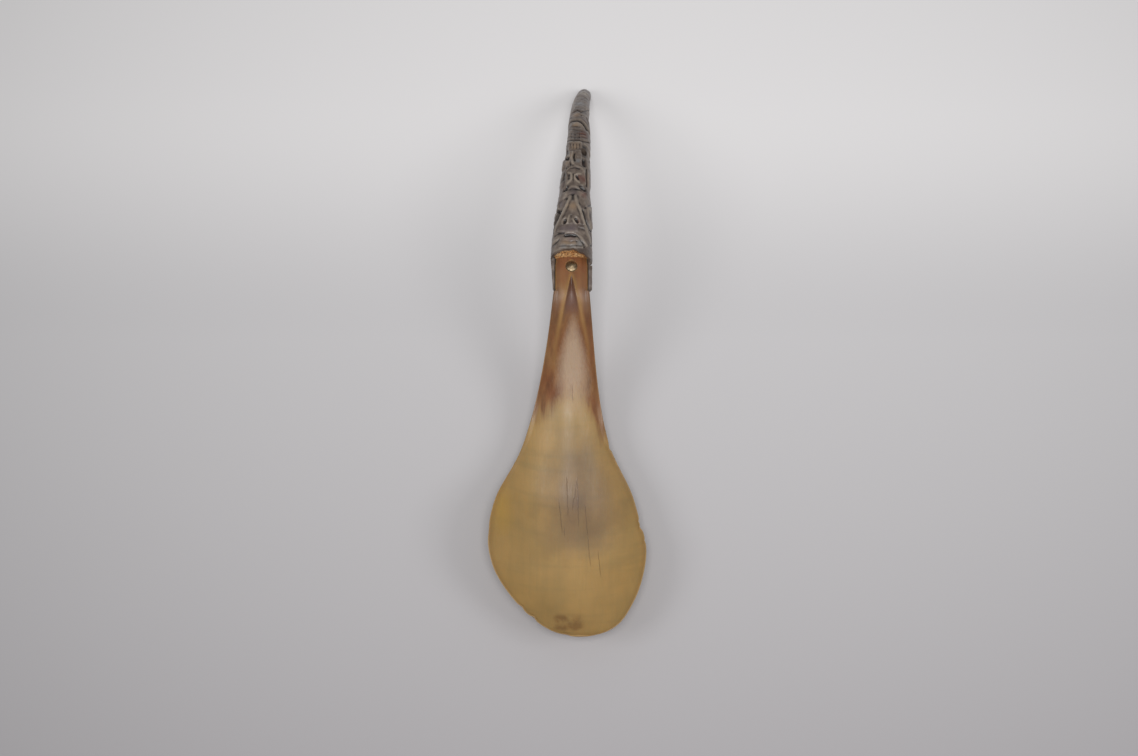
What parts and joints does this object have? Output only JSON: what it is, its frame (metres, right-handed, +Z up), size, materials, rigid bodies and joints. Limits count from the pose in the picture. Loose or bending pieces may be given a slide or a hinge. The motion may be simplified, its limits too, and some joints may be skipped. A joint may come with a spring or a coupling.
{
  "type": "horn spoon",
  "caption": "Horn spoon: an oval amber bowl on a channelled stem, riveted into the socket of a dark, arched handle carved as a column of figures.",
  "frame": {"origin": "middle of the small worn flat under the bowl, on which the spoon rests", "axes": "+Z up out of the bowl, +Y from the bowl along the stem to the tip of the handle, +X to the right of someone who looks along +Y"},
  "size_m": [0.0633, 0.2477, 0.0534],
  "materials": {
    "dark_horn": "polished goat horn, greyed and worn",
    "amber_horn": "steamed and scraped horn, satin",
    "rivet_metal": "dull, hand hammered",
    "pale_wood": "raw end grain, pitted"
  },
  "bodies": {
    "root": {"carved_handle": "dark_horn", "bowl": "amber_horn", "rivet": "rivet_metal", "packing_wedge": "pale_wood"}
  },
  "joints": []
}
